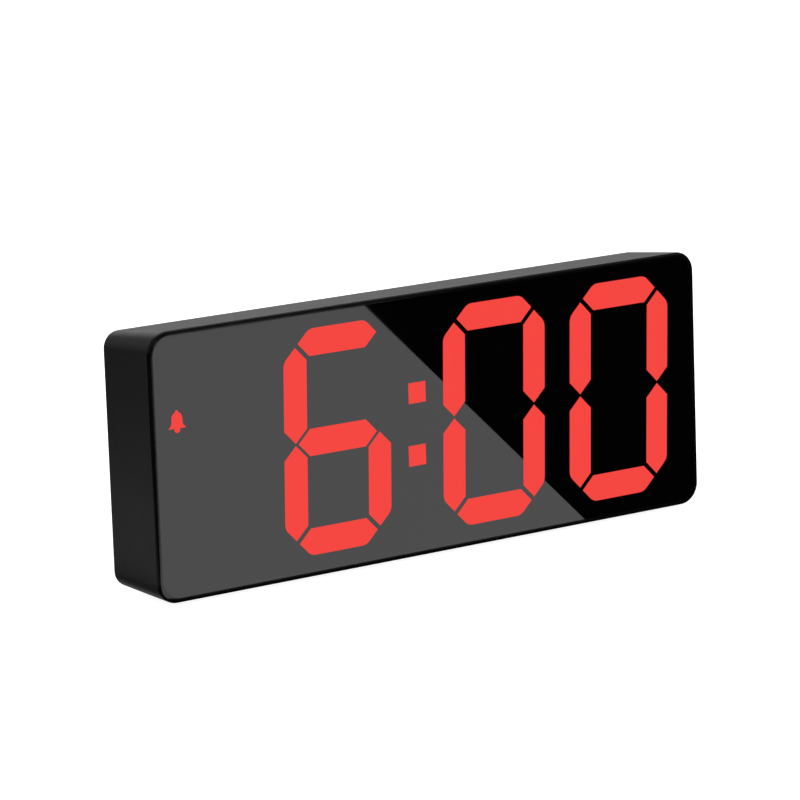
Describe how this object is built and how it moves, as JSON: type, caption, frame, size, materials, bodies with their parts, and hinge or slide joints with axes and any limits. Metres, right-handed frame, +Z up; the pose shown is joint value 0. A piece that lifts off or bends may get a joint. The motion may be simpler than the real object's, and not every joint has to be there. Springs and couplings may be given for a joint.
{
  "type": "alarm clock",
  "caption": "Thin desk alarm clock with a mirror face, large red segment digits, a colon and an alarm symbol; buttons, switch, socket and battery door behind.",
  "frame": {"origin": "on the surface that the rubber feet rest on, below the middle of the clock's box", "axes": "+X along the width, to the right when facing the display; +Y from the display to the back; +Z up"},
  "size_m": [0.16, 0.022, 0.0648],
  "materials": {
    "case": "satin black ABS, fine moulded texture",
    "case_back": "black ABS, fine spark texture",
    "lens": "mirror-coated smoked acrylic",
    "tape": "black foam tape",
    "film": "translucent white film",
    "lit": "red light window, lit",
    "unlit": "dark light window, unlit",
    "light_box": "white ABS",
    "board": "green solder mask",
    "led": "clear resin over yellow phosphor",
    "screw": "zinc-plated steel",
    "black_screw": "black oxide steel",
    "chip": "black epoxy",
    "tin": "tinned steel",
    "capacitor": "dark blue sleeve",
    "buzzer": "black plastic",
    "connector": "black nylon",
    "gold": "gold-plated pins",
    "switch": "black switch housing",
    "cell": "printed blue sleeve, plain",
    "contact": "nickel-plated spring steel",
    "red_lead": "red PVC",
    "black_lead": "black PVC",
    "rubber": "black rubber",
    "button": "black ABS, polished",
    "stem": "natural nylon"
  },
  "bodies": {
    "case": {"main_shell": "case", "back_cover": "case_back", "front_lens": "lens", "lens_tape": "tape", "diffuser_film": "film", "digit_2_windows": "lit", "digit_3_windows": "lit", "digit_4_windows": "lit", "colon_windows": "lit", "bell_window": "lit", "dark_windows": "unlit", "light_box": "light_box", "display_board": "board", "display_leds": "led", "board_screws": "screw", "driver_chip": "chip", "clock_chip": "chip", "crystal": "tin", "capacitors": "capacitor", "resistors": "chip", "buzzer": "buzzer", "link_socket": "connector", "link_pins": "gold", "key_board": "board", "key_board_screws": "screw", "key_switches": "switch", "alarm_switch_body": "tin", "usb_shell": "tin", "usb_tongue": "connector", "case_screws": "black_screw", "battery_top": "cell", "battery_middle": "cell", "battery_bottom": "cell", "battery_springs": "contact", "battery_contacts": "contact", "lead_positive": "red_lead", "lead_negative": "black_lead", "rubber_feet": "rubber"},
    "set_key": {"set_button": "button", "set_stem": "stem"},
    "mode_key": {"mode_button": "button", "mode_stem": "stem"},
    "up_key": {"up_button": "button", "up_stem": "stem"},
    "down_key": {"down_button": "button", "down_stem": "stem"},
    "door": {"battery_door": "case_back"},
    "alarm_knob": {"alarm_slider": "button"}
  },
  "joints": [
    {"name": "set_press", "type": "slide", "parent": "case", "child": "set_key", "axis": [0, -1, 0], "range_m": [0, 0.0005], "stiffness_N_per_m": 900, "springref_m": -0.0006},
    {"name": "mode_press", "type": "slide", "parent": "case", "child": "mode_key", "axis": [0, -1, 0], "range_m": [0, 0.0005], "stiffness_N_per_m": 900, "springref_m": -0.0006},
    {"name": "up_press", "type": "slide", "parent": "case", "child": "up_key", "axis": [0, -1, 0], "range_m": [0, 0.0005], "stiffness_N_per_m": 900, "springref_m": -0.0006},
    {"name": "down_press", "type": "slide", "parent": "case", "child": "down_key", "axis": [0, -1, 0], "range_m": [0, 0.0005], "stiffness_N_per_m": 900, "springref_m": -0.0006},
    {"name": "door_hinge", "type": "hinge", "parent": "case", "child": "door", "pos_m": [-0.034, 0.0084, 0.0151], "axis": [-1, 0, 0], "range_deg": [0, 90]},
    {"name": "alarm_slide", "type": "slide", "parent": "case", "child": "alarm_knob", "axis": [1, 0, 0], "range_m": [0, 0.003]}
  ]
}
